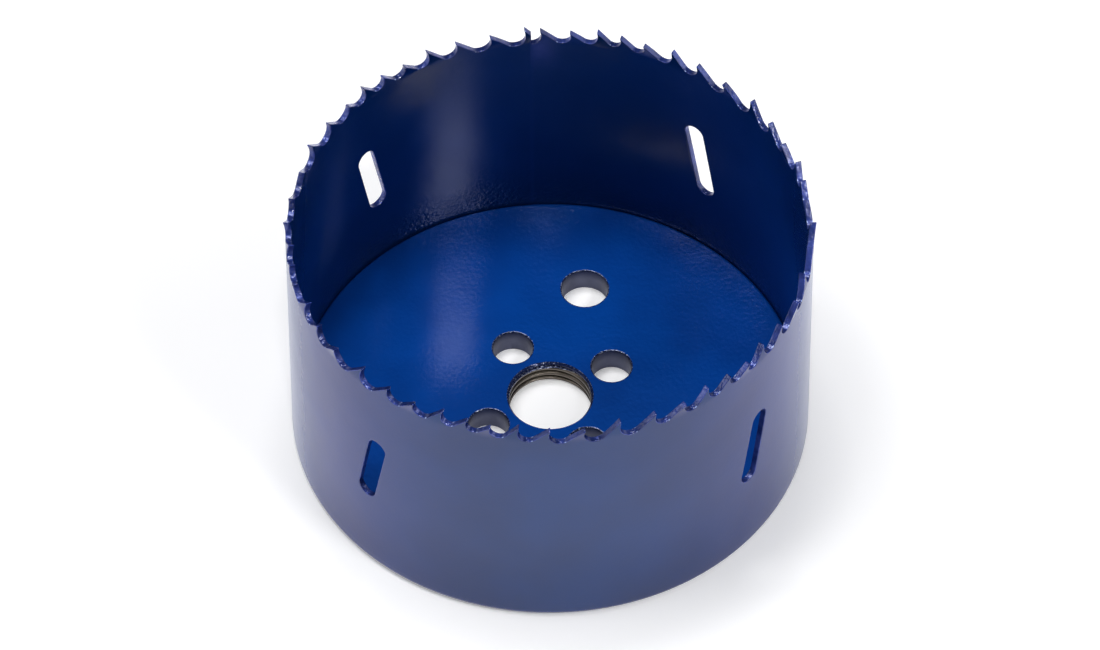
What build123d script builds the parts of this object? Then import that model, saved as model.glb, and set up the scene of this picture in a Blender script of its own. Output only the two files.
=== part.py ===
from build123d import *
from math import asin, atan2, cos, degrees, hypot, pi, radians, sin, tan
import os

# A hole saw: a strip with teeth, rolled into a ring and butt-welded, round a thick base plate.
# Millimetres. +Z points the way the teeth cut, and the origin is the centre of the underside.

os.makedirs("parts", exist_ok=True)

# The ring
cutting_d = 92.0  # hole cut by the teeth that lean outwards
tooth_set = 0.45  # how far a set tooth leans from the wall at its tip
band_wall = 1.1  # thickness of the strip
overall_height = 51.0  # underside to tooth tips
corner_round = 1.75  # weld at the bottom edge, ground round

# The teeth. The pitches follow each other along the strip and start again after the last.
tooth_pitches = [6.25, 6.2, 5.4, 5.1, 4.5, 4.25, 4.75, 5.3, 5.9]
gullet_depth_share = 0.52  # depth of a gullet as a share of its pitch
gullet_radius_share = 0.31  # radius of its floor, likewise
rake_angle = 10.0  # degrees that the cutting face hooks forward
tip_land = 0.15  # flat that the lacquer leaves on a tip
seam_angle = 94.0  # where the ends of the strip are welded, counter-clockwise from +X
first_tip = 1.15  # length of strip from the seam to the first tip
set_order = (1, -1, 0)  # outwards, inwards, straight, in turn round the ring

# The slanted slots in the wall, evenly spaced along the strip
slot_count = 4
slot_spacing = 73.8  # along the outside of the wall
slot_length = 16.6
slot_width = 3.75
slot_height = 26.5  # underside to the middle of a slot
slot_lean = 11.5  # degrees from upright, the top towards the cutting direction

# The base plate
plate_thickness = 4.8
plate_fit = 0.05  # slip fit of the plate inside the ring, before welding
plate_rim_chamfer = 0.6
arbor_bore_d = 14.5  # crests of the arbor thread
arbor_chamfer = 0.4
pin_count = 4
pin_hole_d = 7.1
pin_circle_d = 25.4
pin_angle = 31.2  # first drive-pin hole, counter-clockwise from +X
knockout_hole_d = 8.3  # hole for a rod that pushes the cut plug out
knockout_reach = 25.2  # from the centre
knockout_angle = 75.7
hole_chamfer = 0.15

# Sizes that follow from these
band_r = cutting_d / 2 - tooth_set
inner_r = band_r - band_wall
strip_r = (band_r + inner_r) / 2
strip_length = 2 * pi * strip_r
plate_r = inner_r - plate_fit
bend_height = overall_height - gullet_depth_share * min(tooth_pitches)
cut_margin = 1.0  # how far a cutter reaches past what it cuts


def pitch_after(tooth):
    return tooth_pitches[tooth % len(tooth_pitches)]


def tip_positions():
    # Lengths along the strip, from the seam, at which a tooth has its tip
    tips = [first_tip]
    while tips[-1] + pitch_after(len(tips) - 1) < strip_length:
        tips.append(tips[-1] + pitch_after(len(tips) - 1))
    return tips


def strip_angle(length):
    return seam_angle + degrees(length / strip_r)


def floor_offset(pitch):
    # Distance from a tip to the lowest point of the gullet in front of it
    radius = gullet_radius_share * pitch
    drop = gullet_depth_share * pitch - radius
    return (radius - drop * sin(radians(rake_angle))) / cos(radians(rake_angle))


def back_slope(pitch):
    # Slope, in radians, of the straight back that runs from the floor's arc up to the next tip
    radius = gullet_radius_share * pitch
    drop = gullet_depth_share * pitch - radius
    run = pitch - tip_land - floor_offset(pitch)
    return atan2(drop, run) + asin(radius / hypot(run, drop))


def radial_plane(angle, reach):
    # Upright plane that faces outwards: its X is along the wall and its Y is height
    outwards = (cos(radians(angle)), sin(radians(angle)), 0)
    along = (-sin(radians(angle)), cos(radians(angle)), 0)
    return Plane(origin=(reach * outwards[0], reach * outwards[1], 0), x_dir=along, z_dir=outwards)


def section_plane(angle):
    # Upright plane through the axis: its X is the radius and its Y is height
    outwards = (cos(radians(angle)), sin(radians(angle)), 0)
    return Plane(origin=(0, 0, 0), x_dir=outwards, z_dir=(outwards[1], -outwards[0], 0))


def gullet_outline(pitch):
    # Space between a tip and the next one: hooked face, round floor and straight back
    radius = gullet_radius_share * pitch
    centre_y = overall_height - gullet_depth_share * pitch + radius
    rake = radians(rake_angle)
    slope = back_slope(pitch)
    tip = (-floor_offset(pitch), overall_height)
    next_tip = (pitch - tip_land - floor_offset(pitch), overall_height)
    face_end = (-radius * cos(rake), centre_y + radius * sin(rake))
    back_start = (radius * sin(slope), centre_y - radius * cos(slope))
    top = overall_height + cut_margin
    with BuildLine() as outline:
        Line(tip, face_end)
        ThreePointArc(face_end, (0, centre_y - radius), back_start)
        Line(back_start, next_tip)
        Polyline(next_tip, (next_tip[0], top), (tip[0], top), tip)
    return outline.edges()


# What grinding the bottom weld takes off the corner, from the ring and the plate alike
with BuildPart() as corner_waste:
    with BuildSketch(Plane.XZ):
        with BuildLine():
            CenterArc((band_r - corner_round, corner_round), corner_round, 270, 90)
            Polyline(
                (band_r, corner_round),
                (band_r + cut_margin, corner_round),
                (band_r + cut_margin, -cut_margin),
                (band_r - corner_round, -cut_margin),
                (band_r - corner_round, 0),
            )
        make_face()
    revolve(axis=Axis.Z)

tips = tip_positions()
floors = [tip + floor_offset(pitch_after(tooth)) for tooth, tip in enumerate(tips)]

# The ring, one tooth's length of strip after another, each leaning as its tooth does
with BuildPart() as band:
    lengths = []
    for tooth in range(len(tips)):
        start = floors[tooth - 1] if tooth > 0 else 0
        end = floors[tooth] if tooth < len(tips) - 1 else strip_length
        lean = set_order[tooth % len(set_order)] * tooth_set
        with BuildSketch(section_plane(strip_angle(start))):
            with BuildLine():
                Polyline(
                    (inner_r, 0),
                    (band_r, 0),
                    (band_r, bend_height),
                    (band_r + lean, overall_height),
                    (inner_r + lean, overall_height),
                    (inner_r, bend_height),
                    close=True,
                )
            make_face()
        arc = degrees((end - start) / strip_r)
        lengths.append(revolve(axis=Axis.Z, revolution_arc=arc, mode=Mode.PRIVATE))
    add(lengths)

    # The gullets between the teeth. The weld cuts the last one short and halves the first back.
    depth = band_wall + 2 * tooth_set + 2 * cut_margin
    for tooth, floor in enumerate(floors):
        with BuildSketch(radial_plane(strip_angle(floor), inner_r - tooth_set - cut_margin)):
            make_face(gullet_outline(pitch_after(tooth)))
            if tooth == len(floors) - 1:
                with Locations((strip_length - floor, 0)):
                    Rectangle(
                        2 * max(tooth_pitches),
                        2 * overall_height,
                        align=(Align.MAX, Align.MIN),
                        mode=Mode.INTERSECT,
                    )
    start_angle = strip_angle(first_tip)
    fall = (first_tip - tip_land) * tan(back_slope(pitch_after(len(tooth_pitches) - 1)))
    with BuildSketch(radial_plane(start_angle, inner_r - tooth_set - cut_margin)):
        with BuildLine():
            Polyline(
                (-first_tip, overall_height - fall),
                (-tip_land, overall_height),
                (-tip_land, overall_height + cut_margin),
                (-first_tip, overall_height + cut_margin),
                close=True,
            )
        make_face()
    extrude(amount=depth, mode=Mode.SUBTRACT)

    # The slots, spread evenly either side of the point opposite the seam
    slot_step = degrees(slot_spacing / band_r)
    for slot in range(slot_count):
        angle = seam_angle + 180 + (slot - (slot_count - 1) / 2) * slot_step
        with BuildSketch(radial_plane(angle, inner_r - cut_margin)):
            with Locations((0, slot_height)):
                SlotOverall(slot_length, slot_width, rotation=90 - slot_lean)
    extrude(amount=band_wall + 2 * cut_margin, mode=Mode.SUBTRACT)
    add(corner_waste.part, mode=Mode.SUBTRACT)
band.part.label = "band"

# The thick disc that closes the ring, with the arbor bore and the holes round it
with BuildPart() as base_plate:
    Cylinder(plate_r, plate_thickness, align=(Align.CENTER, Align.CENTER, Align.MIN))
    chamfer(base_plate.faces().sort_by(Axis.Z)[-1].edges(), plate_rim_chamfer)
    with BuildSketch():
        Circle(arbor_bore_d / 2)
        with PolarLocations(pin_circle_d / 2, pin_count, start_angle=pin_angle):
            Circle(pin_hole_d / 2)
        with PolarLocations(knockout_reach, 1, start_angle=knockout_angle):
            Circle(knockout_hole_d / 2)
    extrude(amount=plate_thickness, mode=Mode.SUBTRACT)
    rims = base_plate.edges().filter_by(GeomType.CIRCLE)
    arbor_rims = rims.filter_by(lambda rim: abs(rim.radius - arbor_bore_d / 2) < hole_chamfer)
    small_rims = rims.filter_by(lambda rim: rim.radius < arbor_bore_d / 2 - hole_chamfer)
    chamfer(arbor_rims, arbor_chamfer)
    chamfer(small_rims, hole_chamfer)
    add(corner_waste.part, mode=Mode.SUBTRACT)
base_plate.part.label = "base_plate"

export_step(band.part, "parts/band.step")
export_step(base_plate.part, "parts/base_plate.step")
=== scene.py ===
# %% [markdown]
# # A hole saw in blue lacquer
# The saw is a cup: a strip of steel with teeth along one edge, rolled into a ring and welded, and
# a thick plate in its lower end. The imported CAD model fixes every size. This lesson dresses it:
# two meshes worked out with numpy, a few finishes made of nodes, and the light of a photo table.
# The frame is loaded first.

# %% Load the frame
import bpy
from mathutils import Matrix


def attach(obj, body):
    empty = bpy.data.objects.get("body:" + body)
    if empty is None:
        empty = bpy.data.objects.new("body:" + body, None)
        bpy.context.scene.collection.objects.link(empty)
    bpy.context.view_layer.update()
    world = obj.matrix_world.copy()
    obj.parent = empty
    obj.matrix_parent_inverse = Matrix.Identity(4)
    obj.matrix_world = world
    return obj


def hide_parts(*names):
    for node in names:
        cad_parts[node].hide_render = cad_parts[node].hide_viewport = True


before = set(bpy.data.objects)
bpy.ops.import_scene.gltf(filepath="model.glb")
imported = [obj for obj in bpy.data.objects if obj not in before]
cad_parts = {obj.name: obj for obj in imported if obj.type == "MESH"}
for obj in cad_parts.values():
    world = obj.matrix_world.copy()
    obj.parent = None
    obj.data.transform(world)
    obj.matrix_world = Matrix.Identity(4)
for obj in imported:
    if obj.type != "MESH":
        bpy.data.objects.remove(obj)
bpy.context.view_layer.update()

# %% [markdown]
# ## Sizes
# The CAD source gives these lengths in millimetres, and they are repeated here by name because
# this script can't read that file. Blender works in metres, so everything is worked out in
# millimetres and turned into metres once, where a mesh is made.

# %% Sizes of the saw
import bpy
import bmesh
import numpy as np
from mathutils import Matrix

MM = 0.001
BAND_R = 45.55  # outside of the ring
WALL = 1.1  # thickness of the strip
INNER_R = BAND_R - WALL
STRIP_R = BAND_R - WALL / 2  # middle of the strip, on which its length is measured
STRIP_LENGTH = 2 * np.pi * STRIP_R
HEIGHT = 51.0  # underside to tooth tips
CORNER = 1.75  # radius of the ground corner at the bottom
SEAM = np.radians(94.0)  # where the ends of the strip are welded
PITCHES = np.array([6.25, 6.2, 5.4, 5.1, 4.5, 4.25, 4.75, 5.3, 5.9])
FIRST_TIP = 1.15  # length of strip from the weld to the first tip
TOOTH_SET = 0.45  # how far a tip leans
RAKE = np.radians(10.0)  # hook of the cutting faces
TIP_LAND = 0.15  # flat on a tip
PLATE = 4.8  # thickness of the base plate
print("strip", round(STRIP_LENGTH, 1), "mm long and", WALL, "mm thick")


# %% [markdown]
# ## Points on the rolled strip
# A place on the strip has three numbers: its length from the weld, its height and its radius.
# Rolling the strip turns length into an angle. Every point of the ring goes through this one
# function, so neighbouring patches meet exactly.

# %% From strip to ring
def rolled(length, height, radius):
    """Angle = seam angle + length over the strip's radius; then x, y by cosine and sine, z up."""
    angle = SEAM + np.asarray(length) / STRIP_R
    return np.stack(np.broadcast_arrays(
        radius * np.cos(angle), radius * np.sin(angle), height), axis=-1)


def smoothstep(low, high, x):
    """0 below low, 1 above high, and 3t^2 - 2t^3 between."""
    t = np.clip((x - low) / (high - low), 0, 1)
    return t * t * (3 - 2 * t)


print("the weld is at", np.round(rolled(0, HEIGHT, BAND_R), 2))


# %% [markdown]
# ## Patches and pieces
# A patch is a grid of points with a face in each cell. A piece is several patches, joined where
# they share points. Blender's own merge by distance does the joining, and the count of open edges
# afterwards tells whether the piece is really closed. The other way, one long list of hand-made
# faces, is hard to read and harder to change.

# %% Helpers that gather patches into a mesh
SAME_POINT, NO_LENGTH = 2e-6, 1e-7  # metres: points to merge and edges to drop
SHARP_ANGLE = np.radians(40)  # faces that meet at more than this are shaded apart


class Patches:
    """Collects points and faces until make() is called."""

    def __init__(self):
        self.points, self.faces, self.kinds, self.beads, self.count = [], [], [], [], 0

    def add(self, points, faces, kind=0, bead=0.0):
        """points (n, 3) in millimetres, faces a list of index arrays, kind a material index, and
        the last argument how far each point is marked for a painted highlight."""
        points = np.asarray(points, float).reshape(-1, 3)
        self.points.append(points)
        self.beads.append(np.broadcast_to(np.ravel(bead), len(points)))
        for block in faces:
            self.faces.append(np.asarray(block) + self.count)
            self.kinds.append(np.full(len(block), kind))
        self.count += len(points)

    def grid(self, points, closed=False, skip=None, kind=0, bead=0.0):
        """points (rows, columns, 3), a quad to each cell; closed joins last column and first."""
        rows, columns = points.shape[:2]
        i, j = np.meshgrid(np.arange(rows - 1), np.arange(columns if closed else columns - 1),
                           indexing="ij")
        keep = np.ones(i.shape, bool) if skip is None else ~skip
        i, j = i[keep], j[keep]
        right = (j + 1) % columns
        quads = np.stack([i * columns + j, i * columns + right,
                          (i + 1) * columns + right, (i + 1) * columns + j], axis=-1)
        self.add(points, [quads], kind, bead)

    def make(self, name, materials):
        """Merges shared points, turns the faces outwards and makes the object."""
        points = np.concatenate(self.points) * MM
        loops = np.concatenate([block.ravel() for block in self.faces])
        sizes = np.concatenate([np.full(len(block), block.shape[1]) for block in self.faces])
        mesh = bpy.data.meshes.new(name)
        mesh.vertices.add(len(points))
        mesh.vertices.foreach_set("co", points.ravel())
        mesh.loops.add(len(loops))
        mesh.loops.foreach_set("vertex_index", loops)
        mesh.polygons.add(len(sizes))
        mesh.polygons.foreach_set("loop_start", np.concatenate([[0], np.cumsum(sizes)[:-1]]))
        mesh.polygons.foreach_set("material_index", np.concatenate(self.kinds))
        mesh.update(calc_edges=True)
        # the marks for the painted highlight in the gullets go on as a point attribute
        mesh.attributes.new("bead", "FLOAT", "POINT").data.foreach_set(
            "value", np.concatenate(self.beads).astype(np.float32))
        shell = bmesh.new()
        shell.from_mesh(mesh)
        bmesh.ops.remove_doubles(shell, verts=shell.verts, dist=SAME_POINT)
        bmesh.ops.dissolve_degenerate(shell, edges=shell.edges, dist=NO_LENGTH)
        bmesh.ops.recalc_face_normals(shell, faces=shell.faces)
        open_edges = sum(not edge.is_manifold for edge in shell.edges)
        volume = shell.calc_volume(signed=True)
        shell.to_mesh(mesh)
        shell.free()
        mesh.polygons.foreach_set("use_smooth", np.ones(len(mesh.polygons), bool))
        mesh.set_sharp_from_angle(angle=SHARP_ANGLE)
        for material in materials:
            mesh.materials.append(material)
        piece = bpy.data.objects.new(name, mesh)
        bpy.context.collection.objects.link(piece)
        print(name, len(mesh.polygons), "faces,", open_edges, "open edges,",
              round(volume * 1e9), "cubic mm")
        return piece


print("helpers ready")

# %% [markdown]
# ## The camera
# The photograph was taken from well above, at about 51 degrees, with a long lens from a metre and
# a half away: opposite edges of the ring look almost equally large. The lens comes from the fit
# of the two rims. The camera looks along +Y and is turned a fifth of a degree.

# %% The camera
PHOTO_WIDTH, PHOTO_HEIGHT = 1100, 650
FOCAL_PIXELS = 8727.1
DISTANCE = 1525.9  # millimetres from the aim to the lens
ELEVATION = np.radians(50.616)
ROLL = np.radians(0.212)
AIM_HEIGHT = 20.07  # the point over the origin that the fit is about, and where it shows
AIM_PIXEL = (549.93, 340.19)


def turned(vector, about, angle):
    """The vector turned about a unit vector it may have no part along."""
    return (vector * np.cos(angle) + np.cross(about, vector) * np.sin(angle)
            + about * (about @ vector) * (1 - np.cos(angle)))


def axes(x_axis, y_axis, z_axis, origin):
    """A matrix with these four columns: where an object's own axes and origin lie."""
    columns = np.zeros((4, 4))
    columns[:3] = np.stack([x_axis, y_axis, z_axis, origin], axis=1)
    columns[3, 3] = 1
    return Matrix(columns.tolist())


eye = np.array([0, -DISTANCE * np.cos(ELEVATION), AIM_HEIGHT + DISTANCE * np.sin(ELEVATION)])
forward = np.array([0, np.cos(ELEVATION), -np.sin(ELEVATION)])
right = np.array([1.0, 0, 0])
up = np.cross(right, forward)
yaw = np.arctan((AIM_PIXEL[0] - PHOTO_WIDTH / 2) / FOCAL_PIXELS)
pitch = np.arctan((PHOTO_HEIGHT / 2 - AIM_PIXEL[1]) / FOCAL_PIXELS)
forward, right = turned(forward, up, yaw), turned(right, up, yaw)
forward, up = turned(forward, right, -pitch), turned(up, right, -pitch)
right, up = turned(right, forward, ROLL), turned(up, forward, ROLL)

lens = bpy.data.cameras.new("photo_camera")
lens.sensor_width = 36.0
lens.lens = FOCAL_PIXELS * lens.sensor_width / PHOTO_WIDTH
lens.clip_end = 50.0
camera = bpy.data.objects.new("photo_camera", lens)
bpy.context.collection.objects.link(camera)
camera.matrix_world = axes(right, up, -forward, eye * MM)
bpy.context.scene.camera = camera
print("lens", round(lens.lens, 1), "mm, eye", np.round(eye))

# %% [markdown]
# ## The line of the teeth
# Each gullet is the same shape, scaled by its pitch: down the hooked face, round the floor and up
# the straight back to the next tip. Nine pitches repeat, so that the saw doesn't chatter. The
# whole line is computed at once, as an array with a row for each gullet and a column for each
# step along it. A drawn curve would do too, but then a changed pitch means drawing it again.

# %% Tips along the strip
ROUNDS = 7  # of the nine pitches, more than the strip is long
tip_at = np.cumsum(np.concatenate([[FIRST_TIP], np.tile(PITCHES, ROUNDS)]))
TIPS = tip_at[tip_at < STRIP_LENGTH]
TEETH = len(TIPS)
PITCH = np.tile(PITCHES, ROUNDS)[:TEETH]
SETS = np.array([1.0, -1.0, 0.0])[np.arange(TEETH) % 3]  # out, in, straight
print(TEETH, "teeth, the last", round(STRIP_LENGTH - TIPS[-1], 2), "mm before the weld")

# %% [markdown]
# A gullet carries the chips away, and its round floor keeps the tooth from cracking. The shape
# comes from the grinding wheel, so depth and radius are shares of the pitch. The back is the line
# that touches the floor's circle and ends at the next tip.

# %% One gullet, for all pitches at once
FACE, ARC, BACK = 3, 10, 6  # steps down the face, round the floor and up the back
RADIUS_SHARE, DEPTH_SHARE = 0.31, 0.52  # of the pitch: the floor's radius and the depth
floor_radius = RADIUS_SHARE * PITCH
floor_depth = DEPTH_SHARE * PITCH
drop = floor_depth - floor_radius
floor_at = (floor_radius - drop * np.sin(RAKE)) / np.cos(RAKE)
centre_height = HEIGHT - drop
run = PITCH - TIP_LAND - floor_at
back_slope = np.arctan2(drop, run) + np.arcsin(floor_radius / np.hypot(run, drop))


def along(start, end, steps):
    """Points at even shares of the straight way from start to end, without the end."""
    share = np.arange(steps) / steps
    return start[:, None] + (end - start)[:, None] * share


def gullet_lines():
    """Length and height of each gullet's line: face, arc of the floor circle, back, land."""
    turn = along(np.full(TEETH, np.pi - RAKE), 1.5 * np.pi + back_slope, ARC)
    arc_x = floor_at[:, None] + floor_radius[:, None] * np.cos(turn)
    arc_z = centre_height[:, None] + floor_radius[:, None] * np.sin(turn)
    back_x = floor_at + floor_radius * np.sin(back_slope)
    back_z = centre_height - floor_radius * np.cos(back_slope)
    top = np.full(TEETH, HEIGHT)
    x = [along(np.zeros(TEETH), arc_x[:, 0], FACE), arc_x,
         along(back_x, PITCH - TIP_LAND, BACK), (PITCH - TIP_LAND)[:, None]]
    z = [along(top, arc_z[:, 0], FACE), arc_z, along(back_z, top, BACK), top[:, None]]
    return np.concatenate(x, axis=1), np.concatenate(z, axis=1)


line_x, line_z = gullet_lines()
COLUMNS = line_x.shape[1]
print(COLUMNS, "points to a gullet, floors", np.round((HEIGHT - floor_depth).min(), 2), "to",
      np.round((HEIGHT - floor_depth).max(), 2), "mm up")

# %% [markdown]
# The weld cuts this line. The last gullet stops half way, and the first tooth begins with a
# straight upright side and only a stub of its back. That row of the array is written over.

# %% The line at the weld
cut_x = STRIP_LENGTH - TIPS[-1]
cut_turn = 1.5 * np.pi - np.arcsin((floor_at[-1] - cut_x) / floor_radius[-1])
cut_z = centre_height[-1] + floor_radius[-1] * np.sin(cut_turn)
stub_z = HEIGHT - (FIRST_TIP - TIP_LAND) * np.tan(back_slope[len(PITCHES) - 1])
SIDE = 5  # steps up the upright side
STUB = COLUMNS - FACE - (ARC - 3) - SIDE - 1
turn = np.linspace(np.pi - RAKE, cut_turn, ARC - 2)[:-1]
side = np.linspace(cut_z, stub_z, SIDE + 1)[:-1]
stub = np.arange(STUB) / STUB
line_x[-1] = np.concatenate([
    line_x[-1, :FACE], floor_at[-1] + floor_radius[-1] * np.cos(turn),
    np.full(SIDE, cut_x), cut_x + stub * (FIRST_TIP - TIP_LAND), [cut_x + FIRST_TIP - TIP_LAND]])
line_z[-1] = np.concatenate([
    line_z[-1, :FACE], centre_height[-1] + floor_radius[-1] * np.sin(turn),
    side, stub_z + stub * (HEIGHT - stub_z), [HEIGHT]])
edge_length = (line_x + TIPS[:, None]).ravel()
edge_height = line_z.ravel()
print("the line has", edge_length.size, "points")

# %% [markdown]
# ## Rounding the line
# Lacquer never keeps a sharp corner, and a corner with no width catches no light. So the flat
# sides stop a tenth of a millimetre short of the line, and a quarter round joins them to the
# edge. The inset is the line moved along the mean of its two neighbours' normals, which is what a
# mitre does.

# %% The inset line
EDGE_ROUND = 0.11  # radius of the lacquered edge
SHARPEST = 0.55  # keeps the mitre of a very sharp corner short


def inset(length, height, by):
    """Moves a closed line into the material: by times (n1 + n2) / (1 + n1.n2) at each corner."""
    step = np.stack([np.roll(length, -1) - length, np.roll(height, -1) - height])
    step[0] = (step[0] + STRIP_LENGTH / 2) % STRIP_LENGTH - STRIP_LENGTH / 2
    normal = np.stack([step[1], -step[0]]) / np.hypot(*step)
    before = np.roll(normal, 1, axis=1)
    sharpness = np.maximum(1 + (normal * before).sum(axis=0), SHARPEST)
    mitre = (normal + before) / sharpness
    return length + by * mitre[0], height + by * mitre[1]


inner_length, inner_height = inset(edge_length, edge_height, EDGE_ROUND)
print("largest inset", round(float(np.hypot(inner_length - edge_length,
                                           inner_height - edge_height).max()), 3), "mm")

# %% [markdown]
# ## The set of the teeth
# Every third tooth leans out, the next leans in and the third stands straight, so that the cut is
# wider than the strip. The lean starts a little above the gullet floors and changes from one
# tooth to the next across the gullet, where it is nearly nothing.

# %% How far a point leans
BEND_FROM = 48.3  # height at which a tooth starts to lean
BEND_POWER = 1.4  # how late the lean sets in
next_set = np.roll(SETS, -1)
change = smoothstep(0.0, 0.5, line_x / PITCH[:, None])
lean_share = (SETS[:, None] * (1 - change) + next_set[:, None] * change).ravel()


def leaning(height):
    """Radius added: the tooth's set times the share of the way up from the bend, to a power."""
    up_share = np.clip((height - BEND_FROM) / (HEIGHT - BEND_FROM), 0, 1)
    return TOOTH_SET * lean_share * up_share ** BEND_POWER


print("sets go from", TOOTH_SET * lean_share.min(), "to", TOOTH_SET * lean_share.max(), "mm")

# %% [markdown]
# ## Where the tooth columns stand
# Below the teeth the ring is a plain wall. Each point of the tooth line gets a foot on a circle
# just under the deepest gullet. Feet lean back from the hooked faces, so that no cell folds over.
# At the weld the upright side asks for its own spacing.

# %% Feet of the columns
FOOT = 47.2  # height of the feet
FOOT_LAG = 0.45  # how far a foot stands behind its point, as a share of the height between
foot_length = edge_length - FOOT_LAG * (edge_height - FOOT)
first = (TEETH - 1) * COLUMNS + FACE + ARC - 3  # the column at the bottom of the upright side
knots = [first, first + SIDE, first + SIDE + STUB + 1, first + SIDE + STUB + 1 + FACE,
         first + SIDE + STUB + 1 + FACE + 7]
places = [0.0, 0.2, 0.42, 0.56, foot_length[FACE + 7]]  # lengths from the weld for these columns
fitted = np.arange(knots[0], knots[-1])
foot_length[fitted % foot_length.size] = np.interp(fitted, knots, places)
foot_length[first:] = np.where(foot_length[first:] < STRIP_LENGTH / 2,
                               foot_length[first:] + STRIP_LENGTH, foot_length[first:])
gaps = np.diff(np.concatenate([foot_length, foot_length[:1] + STRIP_LENGTH]))
print("feet are", round(float(gaps.min()), 3), "to", round(float(gaps.max()), 3), "mm apart")

# %% [markdown]
# ## The crown of teeth
# One long tube of cells: up the outside from the feet to the inset line, round the edge, across
# the thickness, round the other edge and down the inside. Each row is a whole array. Where a
# gullet's floor turns into the back, the lacquer ran together at either edge. An attribute marks
# those places, where the finish paints a pale highlight.

# %% Rows of the crown
band = Patches()
CUT_EDGE = 1  # the second of the ring's materials
RISE = np.array([0, 0.16, 0.34, 0.52, 0.7, 0.86, 1.0])
ROUND = np.radians([22.5, 45.0, 67.5, 90.0])


def crown_rows():
    """Rows of (length, height, depth under the outside), outside first."""
    rows = [(foot_length + (wrapped_inner - foot_length) * rise,
             FOOT + (inner_height - FOOT) * rise, 0.0) for rise in RISE]
    rows += [(wrapped_inner + (wrapped_edge - wrapped_inner) * np.sin(a),
              inner_height + (edge_height - inner_height) * np.sin(a),
              EDGE_ROUND * (1 - np.cos(a))) for a in ROUND]
    middle = [(wrapped_edge, edge_height, WALL * share) for share in (0.3, 0.5)]
    mirrored = [(length, height, WALL - depth)
                for length, height, depth in (rows + middle[:1])[::-1]]
    return rows + middle + mirrored


# A point across the weld from its foot is carried once round, to the foot's side.
shift = np.where(edge_length - foot_length > STRIP_LENGTH / 2, -STRIP_LENGTH,
                 np.where(foot_length - edge_length > STRIP_LENGTH / 2, STRIP_LENGTH, 0.0))
wrapped_edge, wrapped_inner = edge_length + shift, inner_length + shift
rows = crown_rows()
crown = np.stack([rolled(length, height, BAND_R - depth + leaning(height))
                  for length, height, depth in rows])
SIDE_ROWS = RISE.size
GLINT_TURN = 0.75  # how far round from the floor's bottom to the back
GLINT_UNDER = 0.08  # how deep under either side of the strip
GLINT_REACH = 0.24  # size along the strip
GLINT_DEPTH = 0.14  # size across its thickness
# places where lacquer pools in the gullets, which get a painted highlight
glint_at = floor_at + floor_radius * np.sin(GLINT_TURN * back_slope)
glint_along = np.exp(-((line_x - glint_at[:, None]) / GLINT_REACH) ** 2).ravel()
depths = np.array([depth for length, height, depth in rows])[SIDE_ROWS - 1:1 - SIDE_ROWS, None]
glint_across = (np.exp(-((depths - GLINT_UNDER) / GLINT_DEPTH) ** 2)
               + np.exp(-((WALL - depths - GLINT_UNDER) / GLINT_DEPTH) ** 2))
band.grid(crown[:SIDE_ROWS], closed=True)
band.grid(crown[SIDE_ROWS - 1:1 - SIDE_ROWS], closed=True, kind=CUT_EDGE,
          bead=glint_along * glint_across)
band.grid(crown[-SIDE_ROWS:], closed=True)
print("crown of", crown.shape[0], "rows by", crown.shape[1], "columns")

# %% [markdown]
# ## The wall
# The wall needs fewer columns than the teeth: one post for every second foot, evenly spaced so
# that its shading is even too. A strip of five-sided faces joins the two spacings, which is safe
# because all of it lies on one cylinder.

# %% From fine columns to coarse ones
EVERY = 2  # feet to a post
WALL_TOP = 45.0  # height at which the posts begin
POSTS = foot_length.size // EVERY
post_length = np.arange(POSTS) * STRIP_LENGTH / POSTS
post_length += (foot_length[::EVERY] - post_length).mean()


def joining_strip(radius):
    """Faces with three points on the fine circle and two on the coarse one."""
    fine = rolled(foot_length, FOOT, radius)
    coarse = rolled(post_length, WALL_TOP, radius)
    k = np.arange(POSTS)[:, None]
    upper = (k * EVERY + np.arange(EVERY, -1, -1)) % foot_length.size
    lower = foot_length.size + np.concatenate([k, (k + 1) % POSTS], axis=1)
    band.add(np.concatenate([fine, coarse]), [np.concatenate([upper, lower], axis=1)])


joining_strip(BAND_R)
joining_strip(INNER_R)
print(POSTS, "posts round the wall")

# %% [markdown]
# ## The slots
# Four slanted slots let a screwdriver lever the cut plug out. Each one sits in a window of the
# wall's grid. The ring of cells from the window's frame to the slot's outline is a blend of the
# two closed lines, with the same number of points on each. The outline is an obround: two half
# circles and two straights.

# %% Windows for the slots
SLOT_LENGTH, SLOT_WIDTH, SLOT_HEIGHT = 16.6, 3.75, 26.5
SLOT_LEAN = np.radians(11.5)
SLOT_SPACING = 73.8  # along the outside of the wall
SLOT_ANGLES = SEAM + np.pi + (np.arange(4) - 1.5) * SLOT_SPACING / BAND_R
WINDOW = 5.6  # half the width of a window, at least
SILL, HEAD = 16.6, 37.4  # heights of a window's lower and upper side
levels = np.concatenate([np.linspace(CORNER, 15.5, 8), np.linspace(SILL, HEAD, 21)[:-1],
                         np.linspace(HEAD, WALL_TOP, 6)])
LOW, HIGH = 8, 28  # rows of the two
post_angle = SEAM + post_length / STRIP_R
post_angle = np.where(post_angle > SEAM + 2 * np.pi, post_angle - 2 * np.pi, post_angle)


def window_posts(angle):
    """First and last post of the window round a slot."""
    away = (post_angle - angle + np.pi) % (2 * np.pi) - np.pi
    inside = np.flatnonzero(np.abs(away) * BAND_R < WINDOW)
    return inside.min() - 1, inside.max() + 1


windows = [window_posts(angle) for angle in SLOT_ANGLES]
print("sill", levels[LOW], "head", levels[HIGH],
      "windows", [(int(a), int(b)) for a, b in windows])

# %% [markdown]
# Everything round the windows is a plain grid on two cylinders, the outside and the inside.

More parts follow.
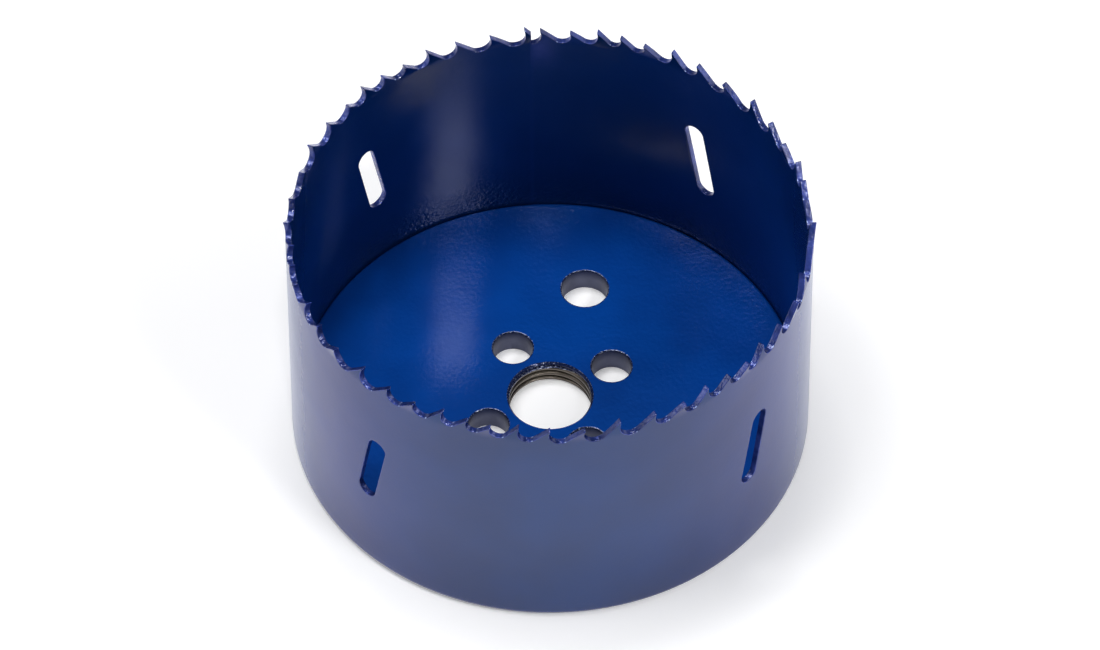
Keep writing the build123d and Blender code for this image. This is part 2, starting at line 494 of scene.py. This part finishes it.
# %% The plain part of the wall
skip = np.zeros((levels.size - 1, POSTS), bool)
for start, end in windows:
    skip[LOW:HIGH, start:end] = True
for radius in (BAND_R, INNER_R):
    band.grid(rolled(post_length, levels[:, None], radius), closed=True, skip=skip)
print(int(skip.sum()), "cells left open for the slots on each side")

# %% [markdown]
# A slot could be milled while the strip is still flat: two half circles and two straights. So it
# is drawn flat and leaned, and then laid on the wall by how far each point is from its middle.

# %% A slot
def obround(half_width, straight, arc_steps, side_steps):
    """Counter-clockwise from the lower left: half circle, straight, half circle, straight."""
    low = np.linspace(np.pi, 2 * np.pi, arc_steps + 1)[:-1]
    high = low - np.pi
    rise = np.linspace(-straight, straight, side_steps + 1)[:-1]
    x = np.concatenate([np.cos(low), np.ones(side_steps), np.cos(high), -np.ones(side_steps)])
    x *= half_width
    y = np.concatenate([-straight + half_width * np.sin(low), rise,
                        straight + half_width * np.sin(high), -rise])
    return (x * np.cos(SLOT_LEAN) + y * np.sin(SLOT_LEAN),
            SLOT_HEIGHT - x * np.sin(SLOT_LEAN) + y * np.cos(SLOT_LEAN))


def on_wall(angle, x, height, radius):
    """A point x to the side of a slot's middle: angle + arcsine of x over the radius."""
    return rolled((angle - SEAM + np.arcsin(x / radius)) * STRIP_R, height, radius)


print("a slot's outline is", np.round(obround(1.0, 2.0, 4, 3)[0].size), "points at its simplest")

# %% [markdown]
# The obround leans with its top towards the cutting direction. Its edge is rounded like the
# teeth's, and one straight-sided band of cells runs through the thickness.

# %% All four slots
SLOT_ROUND = 0.12  # radius of a slot's edge
SPREAD = np.array([0, 0.3, 0.55, 0.75, 0.9, 1.0])  # rows from a window's frame to its outline


def frame_loop(start, end, angle, radius):
    """The window's frame, counter-clockwise from the lower left, as side distance and height."""
    away = (post_angle[start:end + 1] - angle + np.pi) % (2 * np.pi) - np.pi
    x, z = radius * np.sin(away), levels[LOW:HIGH + 1]
    return (np.concatenate([x[:-1], np.full(z.size - 1, x[-1]), x[:0:-1],
                            np.full(z.size - 1, x[0])]),
            np.concatenate([np.full(x.size - 1, z[0]), z[:-1],
                            np.full(x.size - 1, z[-1]), z[:0:-1]]))


def slot(start, end, angle):
    """Fills one window on both sides of the wall and lines the slot through it."""
    steps = end - start, HIGH - LOW
    straight = (SLOT_LENGTH - SLOT_WIDTH) / 2
    wide = obround(SLOT_WIDTH / 2 + SLOT_ROUND, straight, *steps)
    for radius in (BAND_R, INNER_R):
        x, z = frame_loop(start, end, angle, radius)
        ring = np.stack([on_wall(angle, x + (wide[0] - x) * s, z + (wide[1] - z) * s, radius)
                         for s in SPREAD])
        band.grid(ring, closed=True)
    depths = SLOT_ROUND * (1 - np.cos(np.concatenate([[0], ROUND])))
    grow = SLOT_ROUND * (1 - np.sin(np.concatenate([[0], ROUND])))
    depths = np.concatenate([depths, [WALL / 2], WALL - depths[::-1]])
    grow = np.concatenate([grow, [0], grow[::-1]])
    through = np.stack([
        on_wall(angle, *obround(SLOT_WIDTH / 2 + g, straight, *steps), BAND_R - d)
        for d, g in zip(depths, grow)])
    band.grid(through, closed=True, kind=CUT_EDGE)


for (start, end), angle in zip(windows, SLOT_ANGLES):
    slot(start, end, angle)
print(len(SLOT_ANGLES), "slots cut")

# %% [markdown]
# ## The foot of the ring
# The weld to the plate is ground to a round corner. The ring has the outer part of that corner
# and then goes up inside, hidden against the plate as far as the plate is thick.

# %% The ground corner
corner_end = np.arccos((INNER_R - (BAND_R - CORNER)) / CORNER)
bend = np.linspace(0, corner_end, 9)
foot_radius = BAND_R - CORNER + CORNER * np.cos(bend)
foot_height = CORNER - CORNER * np.sin(bend)
foot_radius = np.concatenate([foot_radius, [INNER_R]])
foot_height = np.concatenate([foot_height, [CORNER]])
band.grid(rolled(post_length, foot_height[:, None], foot_radius[:, None]), closed=True)
print("the ring ends", round(float(foot_height[-2]), 3), "mm above the bench")

# %% [markdown]
# ## Light of a photo table
# The saw stood on a white table in a dark studio. The outside of the ring mirrors the bright
# table, so it looks pale and grey. The plate mirrors the dark ceiling, so its blue stays deep.
# The world gives both: white near the horizon and nearly black overhead. One even grey would be
# simpler, but it would put the same veil on every side.

# %% A helper for nodes
def node(tree, kind, inputs=(), **settings):
    """Adds a node, sets its properties and fills or links its inputs by name."""
    made = tree.nodes.new(kind)
    for key, value in settings.items():
        setattr(made, key, value)
    for key, value in dict(inputs).items():
        if isinstance(value, bpy.types.NodeSocket):
            tree.links.new(value, made.inputs[key])
        else:
            made.inputs[key].default_value = value
    return made


print("node helper ready")

# %% [markdown]
# The world is a sky that fades from white at the horizon to nearly black by thirty degrees up.
# The fade depends only on the height of the direction, so it looks the same all round.

# %% The world
world = bpy.data.worlds.new("dark_studio")
bpy.context.scene.world = world
world.use_nodes = True
sky = world.node_tree
sky.nodes.clear()
way = node(sky, "ShaderNodeTexCoord").outputs["Generated"]
upward = node(sky, "ShaderNodeSeparateXYZ", {0: way}).outputs["Z"]
fade = node(sky, "ShaderNodeMapRange", {"Value": upward, "From Min": 0.1, "From Max": 0.5,
                                        "To Min": 1.0, "To Max": 0.03},
            interpolation_type="SMOOTHSTEP")
glow = node(sky, "ShaderNodeBackground", {"Color": (1, 1, 1, 1), "Strength": fade.outputs[0]})
node(sky, "ShaderNodeOutputWorld", {"Surface": glow.outputs[0]})
print("world ready")

# %% [markdown]
# Six lamps do the rest. A soft one high at the left lights the saw and throws the faint shadow at
# the right, and one nearly overhead throws the shadow in front. Two low ones at the sides give
# the tooth backs their grey sheen. A small bright one in front to the right shows twice: as a
# band on the inside of the ring, and again where the plate mirrors the ring. A tiny one over the
# camera makes the sparks in the gullets. With the sky they light white paper to about full white.

# %% The lamps
LAMP_AIM = np.array([0, 0, 0.02])  # half way up the saw


def lamp(name, azimuth, elevation, distance, width, height, watts):
    """A soft lamp that faces the saw; azimuth in degrees counter-clockwise from +X."""
    light = bpy.data.lights.new(name, "AREA")
    light.shape, light.size, light.size_y, light.energy = "RECTANGLE", width, height, watts
    made = bpy.data.objects.new(name, light)
    bpy.context.collection.objects.link(made)
    turn, rise = np.radians(azimuth), np.radians(elevation)
    back = np.array([np.cos(turn) * np.cos(rise), np.sin(turn) * np.cos(rise), np.sin(rise)])
    side = np.array([-np.sin(turn), np.cos(turn), 0.0])
    made.matrix_world = axes(side, np.cross(back, side), back, back * distance + LAMP_AIM)
    return made


lamp("key_lamp", 170.0, 72.0, 1.2, 0.6, 0.45, 5.4)
lamp("top_lamp", 95.0, 78.0, 1.2, 0.25, 0.25, 3.2)
lamp("right_lamp", 5.0, 27.0, 1.2, 0.8, 0.45, 2.4)
lamp("left_lamp", -168.0, 28.0, 1.2, 0.8, 0.4, 2.2)
lamp("band_lamp", -45.0, 47.0, 1.0, 0.23, 0.16, 2.9)
lamp("spark_lamp", -88.0, 66.0, 1.3, 0.05, 0.05, 1.6)
print("six lamps")

# %% [markdown]
# The table is white paper. It is seen a fifth brighter than the lamps make it, by the camera, in
# reflections and through holes alike, so the background is white while the saw is lit plainly. It
# still takes the saw's shadow. A brighter lamp would whiten it too, but it would bleach the blue.

# %% The table
table_mesh = bpy.data.meshes.new("table")
SPAN = 6.0  # metres from the middle to each side
UNDER = -2e-5  # a hair under the saw, so that the two flats don't flicker
table_mesh.from_pydata([(-SPAN, -SPAN, UNDER), (SPAN, -SPAN, UNDER), (SPAN, SPAN, UNDER),
                        (-SPAN, SPAN, UNDER)], [], [(0, 1, 2, 3)])
table = bpy.data.objects.new("table", table_mesh)
bpy.context.collection.objects.link(table)
paper = bpy.data.materials.new("white_table")
paper.use_nodes = True
tree = paper.node_tree
tree.nodes.clear()
matt = node(tree, "ShaderNodeBsdfDiffuse", {"Color": (0.92, 0.92, 0.93, 1)})
path = node(tree, "ShaderNodeLightPath").outputs
seen = node(tree, "ShaderNodeMath", {0: path["Is Camera Ray"], 1: path["Is Transmission Ray"]},
            operation="MAXIMUM")
seen = node(tree, "ShaderNodeMath", {0: seen.outputs[0], 1: path["Is Glossy Ray"]},
            operation="MAXIMUM")
LIFT = 0.22  # how much brighter the paper is seen than lit
lift = node(tree, "ShaderNodeMath", {0: seen.outputs[0], 1: LIFT}, operation="MULTIPLY")
white = node(tree, "ShaderNodeEmission", {"Color": (1, 1, 1, 1), "Strength": lift.outputs[0]})
both = node(tree, "ShaderNodeAddShader", {0: matt.outputs[0], 1: white.outputs[0]})
node(tree, "ShaderNodeOutputMaterial", {"Surface": both.outputs[0]})
table_mesh.materials.append(paper)
print("table", 2 * SPAN, "m wide")

# %% [markdown]
# ## Blue lacquer
# A tinted clear lacquer over steel: deep blue from inside, and a strong pale reflection at its
# surface. The colour drifts a little where the coat is thicker, and the surface has the fine
# ripple that painters call orange peel. Noise in Object coordinates gives both, so the pattern
# stays put on the saw from every side. An image would give the same in one view only.

# %% The lacquer
def finish(name):
    """A new material with an empty tree."""
    made = bpy.data.materials.new(name)
    made.use_nodes = True
    made.node_tree.nodes.clear()
    return made, made.node_tree


def maths(tree, operation, first, second=0.0):
    """One arithmetic node on two sockets or numbers."""
    return node(tree, "ShaderNodeMath", {0: first, 1: second}, operation=operation).outputs[0]


def ramp(tree, value, low, high):
    """Smooth 0 to 1 as value goes from low to high; low may be the larger one."""
    made = node(tree, "ShaderNodeMapRange", {"Value": value, "From Min": low, "From Max": high},
                interpolation_type="SMOOTHSTEP")
    return made.outputs[0]


def on_piece(tree):
    """The place on the piece in metres, as Object coordinates."""
    return node(tree, "ShaderNodeTexCoord").outputs["Object"]


def height_of(tree):
    """Height above the bench, in metres."""
    return node(tree, "ShaderNodeSeparateXYZ", {0: on_piece(tree)}).outputs["Z"]


def from_axis(tree):
    """Distance from the upright axis: the length of the place with its height made nought."""
    level = node(tree, "ShaderNodeVectorMath", {0: on_piece(tree), 1: (1, 1, 0)},
                 operation="MULTIPLY")
    return node(tree, "ShaderNodeVectorMath", {0: level.outputs[0]},
                operation="LENGTH").outputs["Value"]


def noise(tree, scale, detail=2.0, rough=0.5):
    """Noise in Object coordinates; scale is features per metre."""
    return node(tree, "ShaderNodeTexNoise", {"Vector": on_piece(tree), "Scale": scale,
                                             "Detail": detail, "Roughness": rough}).outputs[0]


def blend(tree, share, first, second):
    """Colour mix; share, first and second are sockets or values."""
    made = node(tree, "ShaderNodeMix", {"Factor": share}, data_type="RGBA")
    for socket, colour in ((made.inputs[6], first), (made.inputs[7], second)):
        if isinstance(colour, bpy.types.NodeSocket):
            tree.links.new(colour, socket)
        else:
            socket.default_value = colour
    return made.outputs[2]


def lacquer_shader(tree, colour, height, metal, roughness, coat_roughness):
    """Tinted metal under a clear coat. height is in metres and bends the light at both."""
    bump = node(tree, "ShaderNodeBump", {"Height": height, "Strength": 1.0, "Distance": 1.0})
    shader = node(tree, "ShaderNodeBsdfPrincipled", {
        "Base Color": colour, "Normal": bump.outputs[0], "Metallic": metal,
        "Roughness": roughness, "Specular IOR Level": 0.0,
        "Specular Tint": (0.1, 0.3, 0.8, 1), "Coat Weight": 1.0,
        "Coat Roughness": coat_roughness, "Coat IOR": 1.5, "Coat Normal": bump.outputs[0]})
    node(tree, "ShaderNodeOutputMaterial", {"Surface": shader.outputs[0]})


print("finish helpers ready")

# %% [markdown]
# The ring's lacquer shows how it was made, with one painted shade. The weld of the strip is a
# faint upright line with a lighter patch beside it under the teeth. The back of the ring is
# painted a deeper blue, as shade. The foot of the inside is rough where the plate was welded in,
# and rolling left the inside barely barrelled, so that the bright band fades towards the teeth.
# Each is worked out from the place on the ring.

# %% The ring's lacquer
ring_lacquer, tree = finish("ring_lacquer")
place = on_piece(tree)
axis = node(tree, "ShaderNodeSeparateXYZ", {0: place}).outputs
across = node(tree, "ShaderNodeVectorMath", {
    0: place, 1: (-np.sin(SEAM), np.cos(SEAM), 0)}, operation="DOT_PRODUCT").outputs["Value"]
behind = ramp(tree, axis["Y"], 0.03, 0.04)
off_seam = maths(tree, "ABSOLUTE", across)
seam = maths(tree, "MULTIPLY", ramp(tree, off_seam, 0.0006, 0.0001), behind)
near = maths(tree, "MULTIPLY", ramp(tree, across, -0.006, -0.001),
             ramp(tree, across, 0.0003, 0.0))
high = maths(tree, "MULTIPLY", ramp(tree, axis["Z"], 0.040, 0.047), behind)
stain = maths(tree, "MULTIPLY", maths(tree, "MULTIPLY", near, high), noise(tree, 300.0))
inside = ramp(tree, from_axis(tree), (BAND_R - 0.4) * MM, (BAND_R - 0.7) * MM)
foot = maths(tree, "MULTIPLY", ramp(tree, axis["Z"], 0.016, 0.004), inside)
blue = blend(tree, ramp(tree, noise(tree, 45.0), 0.3, 0.7),
             (0.001, 0.025, 0.112, 1), (0.0013, 0.033, 0.148, 1))
# painted shade: the back of the ring, from 24 mm behind the axis, is made a deeper blue
back_shade = maths(tree, "MULTIPLY", ramp(tree, axis["Y"], 0.024, 0.042), 0.35)
blue = blend(tree, back_shade, blue, (0.0008, 0.016, 0.055, 1))
blue = blend(tree, stain, blue, (0.05, 0.07, 0.25, 1))
blue = blend(tree, maths(tree, "MULTIPLY", seam, 0.3), blue, (0.004, 0.03, 0.14, 1))
peel = maths(tree, "MULTIPLY", noise(tree, 1300.0, 1.0), 1.0e-5)
splash = maths(tree, "MULTIPLY", maths(tree, "MULTIPLY", noise(tree, 1500.0, 2.0), foot), 1.3e-4)
wave = maths(tree, "MULTIPLY", noise(tree, 90.0, 1.0), 1.2e-4)
ridge = maths(tree, "MULTIPLY", seam, 8e-6)
from_middle = maths(tree, "SUBTRACT", axis["Z"], 0.027)
barrel = maths(tree, "MULTIPLY", maths(tree, "MULTIPLY", from_middle, from_middle), 1.5)
barrel = maths(tree, "MULTIPLY", barrel, inside)
height = maths(tree, "ADD", maths(tree, "ADD", peel, splash), maths(tree, "ADD", wave, ridge))
height = maths(tree, "ADD", height, barrel)
lacquer_shader(tree, blue, height, 0.65, 0.36, 0.18)
print("ring lacquer with", len(tree.nodes), "nodes")

# %% [markdown]
# The lacquer pools on the tooth edges and in the slots, over steel that a cutter left rough. It
# breaks the lamps up into sparks, and the pools of lacquer in the gullets get a painted pale
# highlight.

# %% Lacquer on cut edges
edge_lacquer, tree = finish("edge_lacquer")
blue = blend(tree, ramp(tree, noise(tree, 260.0), 0.35, 0.65),
             (0.016, 0.03, 0.15, 1), (0.04, 0.065, 0.29, 1))
# painted highlight: pale blue where the attribute marks the gullets, broken up by noise
bead = node(tree, "ShaderNodeAttribute", attribute_name="bead").outputs["Fac"]
glint_share = maths(tree, "MULTIPLY", ramp(tree, bead, 0.4, 0.8),
            ramp(tree, noise(tree, 700.0), 0.4, 0.55))
blue = blend(tree, glint_share, blue, (0.42, 0.55, 0.95, 1))
grain = maths(tree, "MULTIPLY", noise(tree, 3000.0, 1.0), 8.0e-5)
lumps = maths(tree, "MULTIPLY", noise(tree, 900.0, 1.0), 1.4e-4)
lacquer_shader(tree, blue, maths(tree, "ADD", grain, lumps), 0.65, 0.4, 0.06)
print("edge lacquer with", len(tree.nodes), "nodes")

# %% [markdown]
# The rims of the plate's holes were broken with a cutter, and the lacquer runs thin over them.
# Pale spots at the brim and where the thread begins are painted highlights, with a dark line
# between.
# They are the peaks of a fine noise, let through at two heights.

# %% Lacquer on the rims
rim_lacquer, tree = finish("rim_lacquer")
rise = height_of(tree)
brim = ramp(tree, rise, 0.00462, 0.0047)
thread_start = ramp(tree, rise, 0.0043, 0.0040)
brims = maths(tree, "MAXIMUM", brim, thread_start)
# painted highlights: pale spots where a fine noise peaks, strongest at the brim and thread start
glint_specks = ramp(tree, noise(tree, 3200.0, 1.0), 0.47, 0.7)
glint_specks = maths(tree, "MULTIPLY", glint_specks, maths(tree, "MAXIMUM", brims, 0.15))
blue = blend(tree, glint_specks, (0.012, 0.022, 0.085, 1), (0.24, 0.28, 0.42, 1))
chatter = maths(tree, "MULTIPLY", noise(tree, 1500.0, 1.0), 1.5e-4)
lacquer_shader(tree, blue, chatter, 0.5, 0.3, 0.1)
print("rim lacquer with", len(tree.nodes), "nodes")

# %% [markdown]
# The plate's lacquer is the same blue over smoother steel, but its colour is painted lighter than
# the ring's, as light falling on the plate. It lies flat, so it mirrors the inside of the ring
# and the dark ceiling, and its own colour shows clearly.

# %% The plate's lacquer
lit_plate_lacquer, tree = finish("lit_plate_lacquer")
# painted light: a lighter blue than the ring's, for the light falling on the plate
blue = blend(tree, ramp(tree, noise(tree, 60.0), 0.3, 0.7),
             (0.0008, 0.05, 0.3, 1), (0.001, 0.066, 0.38, 1))
peel = maths(tree, "MULTIPLY", noise(tree, 1400.0, 2.0), 4.0e-5)
wave = maths(tree, "MULTIPLY", noise(tree, 120.0, 1.0), 1.0e-4)
lacquer_shader(tree, blue, maths(tree, "ADD", peel, wave), 0.4, 0.38, 0.15)
print("plate lacquer with", len(tree.nodes), "nodes")

# %% [markdown]
# The ring is made into one closed mesh. It rides on the model's root, as nothing on a saw moves,
# and stands in for the plain ring of the CAD model.

# %% The ring takes its place
ring = band.make("saw_band", [ring_lacquer, edge_lacquer])
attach(ring, "root")
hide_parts("band")
print("ring placed")

# %% [markdown]
# ## The base plate
# A punched disc: flat on both faces, with the arbor bore in the middle and five holes round it.
# Its faces are polar grids. Each hole gets a window in the grid, as the slots did, and the cells
# between window and hole run towards the hole's middle.

# %% The plate's grid
plate = Patches()
DRILLED, TAPPED, RIM = 1, 2, 3  # places of the plate's other materials
PLATE_R = INNER_R
RIM_ROUND = 0.6  # size of the upper edge's rounding
ARBOR_RIM = 7.65  # radius of the bore at the faces of the plate
PIN_ANGLE = np.radians(31.2)
SPOKES = 180
spokes = PIN_ANGLE + 2 * np.pi / SPOKES * np.arange(SPOKES)
rings = np.concatenate([[ARBOR_RIM, 8.0, 8.4], np.linspace(8.4, 17.0, 11)[1:],
                        [18.5, 20.0], np.linspace(20.0, 30.5, 11)[1:],
                        [33.0, 36.0, 39.0, 42.0, BAND_R - CORNER]])
# Each hole: reach from the axis, angle and radius. Each pane: first and last ring and spoke.
HOLES = [(12.7, PIN_ANGLE + k * np.pi / 2, 3.55) for k in range(4)]
HOLES += [(25.2, np.radians(75.7), 4.15)]
PANES = [(2, 12, 45 * k - 12, 45 * k + 12) for k in range(4)]
PANES += [(14, 24, 15, 30)]


def flat(radius, angle, height):
    """x, y by cosine and sine of the polar angle, at one height."""
    return np.stack(np.broadcast_arrays(radius * np.cos(angle), radius * np.sin(angle), height),
                    axis=-1)


closed_cells = np.zeros((rings.size - 1, spokes.size), bool)
for low, high, start, end in PANES:
    closed_cells[low:high, np.arange(start, end) % spokes.size] = True
for height in (PLATE, 0.0):
    plate.grid(flat(rings[:, None], spokes, height), closed=True, skip=closed_cells)
print("plate grid", rings.size, "by", spokes.size)

# %% [markdown]
# Four holes take the arbor's drive pins, and the fifth lets a rod push out the cut plug. They are
# drilled, and their rims are broken a fifth of a millimetre.

# %% The holes of the plate
HOLE_ROUND = 0.22  # size of a hole's broken rim


def pane_loop(low, high, start, end):
    """The window's frame in polar numbers, counter-clockwise, as x and y."""
    spoke = spokes[np.arange(start, end + 1) % spokes.size]
    ring_part = rings[low:high + 1]
    radius = np.concatenate([ring_part[:-1], np.full(spoke.size - 1, ring_part[-1]),
                             ring_part[:0:-1], np.full(spoke.size - 1, ring_part[0])])
    angle = np.concatenate([np.full(ring_part.size - 1, spoke[0]), spoke[:-1],
                            np.full(ring_part.size - 1, spoke[-1]), spoke[:0:-1]])
    return radius * np.cos(angle), radius * np.sin(angle)


def hole(pane, place):
    """Fills one pane on both faces of the plate and lines the hole through it."""
    reach, angle, radius = place
    x, y = pane_loop(*pane)
    middle = reach * np.cos(angle), reach * np.sin(angle)
    turn = np.arctan2(y - middle[1], x - middle[0])

    def circle(size, height):
        return flat(size, turn, height) + np.array([middle[0], middle[1], 0])

    outer = np.stack([x, y, np.zeros_like(x)], axis=-1)
    for height in (PLATE, 0.0):
        rim = circle(radius + HOLE_ROUND, 0.0)
        plate.grid(np.stack([outer + (rim - outer) * s for s in SPREAD]) + [0, 0, height],
                   closed=True)
    turnings = np.concatenate([[0], ROUND])
    drop_by = HOLE_ROUND * (1 - np.cos(turnings))
    grow_by = HOLE_ROUND * (1 - np.sin(turnings))
    rim_top = np.stack([circle(radius + g, PLATE - d) for g, d in zip(grow_by, drop_by)])
    rim_low = np.stack([circle(radius + g, d) for g, d in zip(grow_by[::-1], drop_by[::-1])])
    plate.grid(rim_top, closed=True, kind=RIM)
    plate.grid(rim_low, closed=True, kind=RIM)
    down = np.linspace(PLATE - HOLE_ROUND, HOLE_ROUND, 9)
    plate.grid(np.stack([circle(radius, height) for height in down]), closed=True, kind=DRILLED)


for pane, place in zip(PANES, HOLES):
    hole(pane, place)
print(len(HOLES), "holes")

# %% [markdown]
# ## The arbor thread
# The arbor screws into a fine thread. Its surface is one formula: the radius at a height and an
# angle depends only on how far the point is along the helix. Near both faces the groove fades
# into a small chamfer, as it does on a tapped hole.

# %% The thread
CREST_R = 7.25
THREAD_PITCH = 25.4 / 18  # eighteen turns to the inch
THREAD_DEPTH = 0.69
THREAD_ROWS = 97
heights = np.linspace(PLATE, 0.0, THREAD_ROWS)[:, None]
turns = spokes[None, :]


def thread_radius(height, angle):
    """Crest radius plus the depth of a flat-topped wave of (height / pitch - angle / turn)."""
    phase = (height / THREAD_PITCH - angle / (2 * np.pi)) % 1.0
    groove = smoothstep(0.12, 0.46, phase) * (1 - smoothstep(0.54, 0.88, phase))
    edge = np.minimum(height, PLATE - height)
    chamfer = ARBOR_RIM - CREST_R - edge
    return CREST_R + np.maximum(THREAD_DEPTH * groove * smoothstep(0.05, 0.6, edge), chamfer)


thread = flat(thread_radius(heights, turns), turns, heights)
LACQUERED = 28  # rows at the top that the lacquer reached
plate.grid(thread[:LACQUERED + 1], closed=True, kind=RIM)
plate.grid(thread[LACQUERED:], closed=True, kind=TAPPED)
print("thread of", round(PLATE / THREAD_PITCH, 1), "turns")

# %% [markdown]
# The plate ends against the ring. Its upper edge is chamfered, which leaves a dark groove all
# round, and its lower edge has the inner part of the ground corner.

# %% The plate's edge
top_turn = np.linspace(0, np.pi / 2, 6)
low_turn = np.linspace(np.pi / 2 - corner_end, 0, 5)
SHOULDER = 43.84  # radius at which the flat ends and the chamfer begins
EDGE_ROW = 2.0  # height of a row on the upright edge
rim_radius = np.array([rings[-1], SHOULDER, *(PLATE_R - RIM_ROUND * (1 - np.sin(top_turn))),
                       PLATE_R, *(BAND_R - CORNER + CORNER * np.sin(low_turn))])
rim_height = np.array([PLATE, PLATE, *(PLATE - RIM_ROUND * (1 - np.cos(top_turn))),
                       EDGE_ROW, *(CORNER - CORNER * np.cos(low_turn))])
plate.grid(flat(rim_radius[:, None], spokes, rim_height[:, None]), closed=True)
print("the plate is", 2 * PLATE_R, "mm across")

# %% [markdown]
# The bore and the holes are bare but for a fine spray of lacquer. Drilled steel is grey and
# dull, darker near the upper face: the spray, deepened by painted shade under the rim.
# Tapped steel is browner, stained by cutting fluid. Its colour darkens with the distance from
# the axis, so the grooves of the thread are darker.

# %% Bare metal of the bore and the holes
def bare(name, tint, roughness, scale):
    """Dull metal. tint takes the tree and a mottle and gives the colour socket."""
    made, tree = finish(name)
    shader = node(tree, "ShaderNodeBsdfPrincipled", {
        "Base Color": tint(tree, noise(tree, scale, 3.0)), "Metallic": 0.8,
        "Roughness": roughness})
    node(tree, "ShaderNodeOutputMaterial", {"Surface": shader.outputs[0]})
    return made


def drilled(tree, mottle):
    """Grey steel, darker near the upper face: a spray of lacquer with painted shade under the
    rim.
    """
    steel = blend(tree, mottle, (0.11, 0.12, 0.19, 1), (0.04, 0.045, 0.085, 1))
    # painted shade with a spray of lacquer: dark blue over the upper part of the hole's wall
    mist_and_rim_shade = ramp(tree, height_of(tree), 0.0025, 0.0045)
    return blend(tree, mist_and_rim_shade, steel, (0.012, 0.02, 0.07, 1))


def tapped(tree, mottle):
    """Brown steel, dark where the distance from the axis is that of the grooves."""
    groove_dark = ramp(tree, from_axis(tree), 0.0073, 0.0078)
    steel = blend(tree, mottle, (0.19, 0.165, 0.14, 1), (0.1, 0.085, 0.07, 1))
    return blend(tree, groove_dark, steel, (0.03, 0.022, 0.015, 1))


hole_metal = bare("drilled_hole", drilled, 0.42, 400.0)
thread_metal = bare("thread_steel", tapped, 0.32, 600.0)
base = plate.make("saw_base_plate", [lit_plate_lacquer, hole_metal, thread_metal, rim_lacquer])
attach(base, "root")
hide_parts("base_plate")
print("base plate placed")

# %% [markdown]
# ## The view transform
# Colours are shown as they are, with the Standard view transform.

# %% The view transform
bpy.context.scene.view_settings.view_transform = "Standard"
